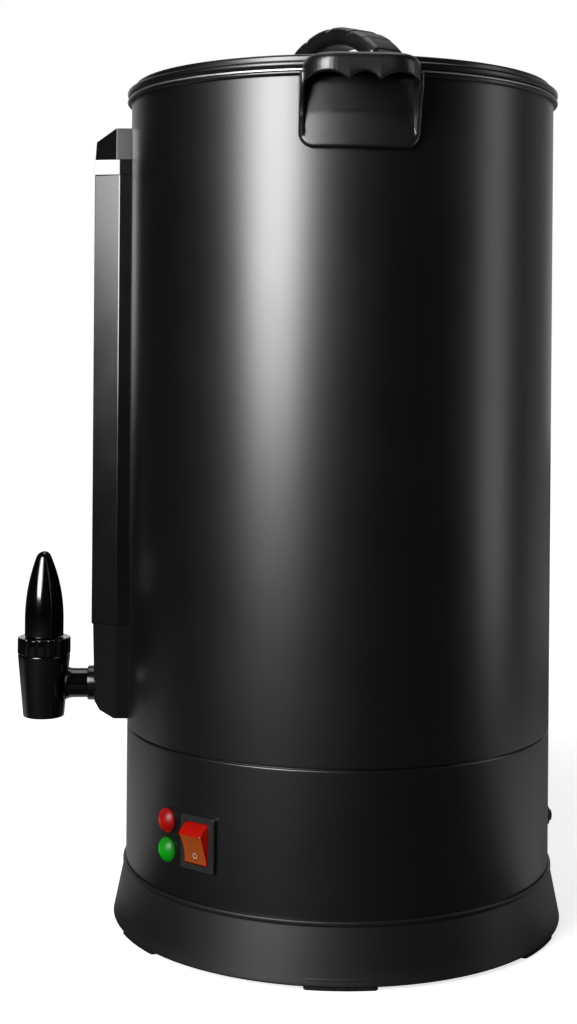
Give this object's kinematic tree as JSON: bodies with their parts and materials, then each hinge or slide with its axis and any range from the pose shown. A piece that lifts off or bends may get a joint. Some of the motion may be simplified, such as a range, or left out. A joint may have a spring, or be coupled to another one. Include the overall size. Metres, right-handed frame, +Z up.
{
  "type": "mulled wine urn",
  "caption": "Tall black catering urn with a stainless tank, lift-off domed lid, carry handles, sight gauge and lever tap over a heated plinth with a lit rocker switch and lamps.",
  "frame": {"origin": "on the drum's axis, at the level the feet stand on", "axes": "+Z up along the drum's axis, -Y towards the tap, +X towards the right carry handle"},
  "size_m": [0.372, 0.3868, 0.6301],
  "materials": {
    "black_paint": "satin black coating",
    "skirt_plastic": "fine-grained matte black",
    "handle_plastic": "semi-gloss moulded black",
    "gauge_plastic": "moulded black",
    "tap_plastic": "gloss black",
    "switch_plastic": "gloss black",
    "inner_plastic": "plain black",
    "pale_plastic": "heat-resistant pale moulding",
    "rocker_red": "clear red, lit from inside",
    "lens_red": "clear red lens",
    "lens_green": "clear green lens",
    "tank_steel": "drawn and brushed",
    "plate_steel": "zinc-plated sheet",
    "fastener_steel": "plated",
    "terminal_brass": "stamped",
    "spreader_aluminium": "machined",
    "tube_glass": "clear drawn tube",
    "silicone": "moulded silicone"
  },
  "bodies": {
    "urn": {"base_skirt": "skirt_plastic", "base_plate": "plate_steel", "base_screws": "fastener_steel", "plinth_shell": "black_paint", "plinth_screws": "fastener_steel", "drum_shell": "black_paint", "inner_tank": "tank_steel", "right_handle": "handle_plastic", "left_handle": "handle_plastic", "handle_screws": "fastener_steel", "gauge_cap": "gauge_plastic", "gauge_guard": "gauge_plastic", "gauge_block": "gauge_plastic", "sight_tube": "tube_glass", "tube_seals": "silicone", "cap_stud": "fastener_steel", "cap_gasket": "silicone", "cap_nut": "fastener_steel", "tap_body": "tap_plastic", "tap_bonnet": "tap_plastic", "tap_gaskets": "silicone", "tap_spacer": "inner_plastic", "tap_nut": "inner_plastic", "switch_housing": "switch_plastic", "switch_terminals": "terminal_brass", "red_lamp": "lens_red", "green_lamp": "lens_green", "lamp_nuts": "inner_plastic", "reset_collar": "switch_plastic", "thermal_cutout": "pale_plastic", "cord_gland": "inner_plastic", "gland_nut": "inner_plastic", "heat_spreader": "spreader_aluminium", "heating_element": "tank_steel", "element_clamp": "plate_steel", "clamp_nut": "fastener_steel", "boil_thermostat": "pale_plastic", "warm_thermostat": "pale_plastic", "terminal_block": "pale_plastic"},
    "lid": {"lid_shell": "black_paint", "lid_handle": "handle_plastic", "lid_screws": "fastener_steel"},
    "lever": {"tap_lever": "tap_plastic"},
    "stem": {"tap_stem": "fastener_steel", "tap_pin": "fastener_steel", "seat_cup": "silicone"},
    "rocker": {"rocker": "rocker_red"},
    "reset": {"reset_button": "switch_plastic"}
  },
  "joints": [
    {"name": "lid_lift", "type": "slide", "parent": "urn", "child": "lid", "axis": [0, 0, 1], "range_m": [0, 0.12]},
    {"name": "lever_tilt", "type": "hinge", "parent": "urn", "child": "lever", "pos_m": [0, -0.2233, 0.1951], "axis": [1, 0, 0], "range_deg": [0, 25], "stiffness_Nm_per_rad": 0.15},
    {"name": "stem_lift", "type": "slide", "parent": "urn", "child": "stem", "axis": [0, 0, 1], "range_m": [0, 0.00532]},
    {"name": "rocker_tilt", "type": "hinge", "parent": "urn", "child": "rocker", "pos_m": [0.11332, -0.09644, 0.0805], "axis": [-0.6481, -0.7615, 0], "range_deg": [0, 36]},
    {"name": "reset_press", "type": "slide", "parent": "urn", "child": "reset", "axis": [0, -1, 0], "range_m": [0, 0.002], "stiffness_N_per_m": 800}
  ],
  "couplings": [
    {"joint": "stem_lift", "follows": "lever_tilt", "m_per_rad": 0.01219}
  ]
}
